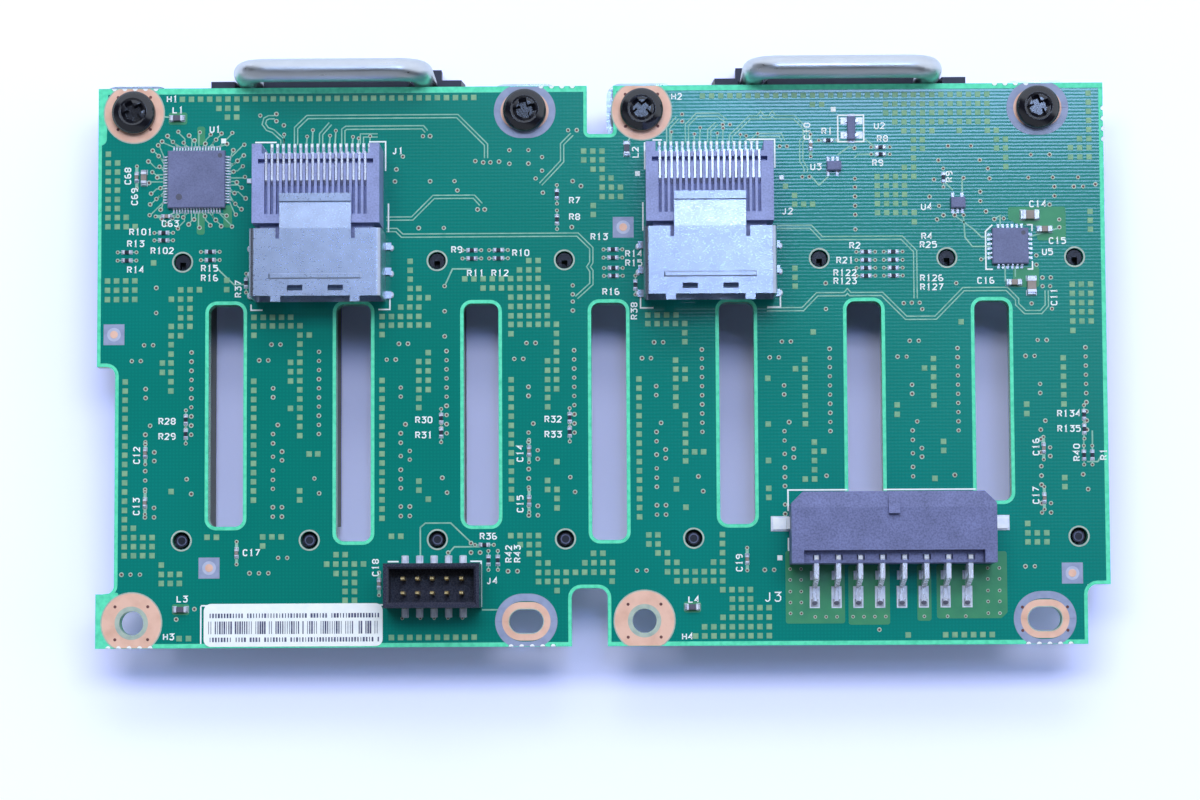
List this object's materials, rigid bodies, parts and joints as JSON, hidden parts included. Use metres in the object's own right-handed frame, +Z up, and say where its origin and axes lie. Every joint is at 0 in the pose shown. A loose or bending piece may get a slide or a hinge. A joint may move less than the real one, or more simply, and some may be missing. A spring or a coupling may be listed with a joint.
{
  "type": "drive backplane board",
  "caption": "Flat circuit board with slotted airways, drive receptacles on one side, cable connectors on the other and two wire pull loops.",
  "frame": {"origin": "middle of the whole part's footprint, on the plane of the guide post tips", "axes": "+X along the board to the right, +Y to the edge with the pull loops, +Z up from the drive side to the cable side"},
  "size_m": [0.14, 0.082, 0.0209],
  "materials": {
    "laminate": "teal green solder mask over glass laminate, satin",
    "black_plastic": "moulded glass-filled plastic, matte",
    "gold_contact": "gold-plated copper alloy, bright",
    "lamp_white": "clear lamp body on a white base",
    "polished_steel": "polished, plated",
    "base_plastic": "moulded, faint sheen",
    "plated_steel": "zinc-plated sheet",
    "shell_steel": "tin-plated sheet, satin",
    "connector_plastic": "moulded high-temperature plastic",
    "black_screw": "black oxide, glossy",
    "tinned_pin": "tin-plated, bright",
    "chip_black": "moulded package, fine matte grain",
    "resistor_black": "black glaze between tinned ends",
    "capacitor_tan": "tan ceramic between tinned ends",
    "bead_grey": "dark grey ferrite between tinned ends",
    "label_white": "plain white label stock"
  },
  "bodies": {
    "root": {"circuit_board": "laminate", "drive_receptacle_1": "black_plastic", "drive_receptacle_2": "black_plastic", "drive_receptacle_3": "black_plastic", "drive_receptacle_4": "black_plastic", "drive_receptacle_5": "black_plastic", "drive_receptacle_6": "black_plastic", "drive_receptacle_7": "black_plastic", "drive_receptacle_8": "black_plastic", "drive_contacts_1": "gold_contact", "drive_contacts_2": "gold_contact", "drive_contacts_3": "gold_contact", "drive_contacts_4": "gold_contact", "drive_contacts_5": "gold_contact", "drive_contacts_6": "gold_contact", "drive_contacts_7": "gold_contact", "drive_contacts_8": "gold_contact", "status_lamps": "lamp_white", "pull_loop_left": "polished_steel", "loop_base_left": "base_plastic", "loop_bracket_left": "plated_steel", "minisas_shell_left": "shell_steel", "minisas_housing_left": "connector_plastic", "minisas_contacts_left": "gold_contact", "pull_loop_right": "polished_steel", "loop_base_right": "base_plastic", "loop_bracket_right": "plated_steel", "minisas_shell_right": "shell_steel", "minisas_housing_right": "connector_plastic", "minisas_contacts_right": "gold_contact", "mounting_screw_1": "black_screw", "mounting_screw_2": "black_screw", "mounting_screw_3": "black_screw", "mounting_screw_4": "black_screw", "power_header_housing": "connector_plastic", "power_header_pins": "tinned_pin", "power_header_clips": "shell_steel", "signal_header_shroud": "connector_plastic", "signal_header_pins": "gold_contact", "controller_chip": "chip_black", "driver_chip": "chip_black", "small_chips": "chip_black", "chip_resistors": "resistor_black", "chip_capacitors": "capacitor_tan", "ferrite_beads": "bead_grey", "blank_label": "label_white"}
  },
  "joints": []
}
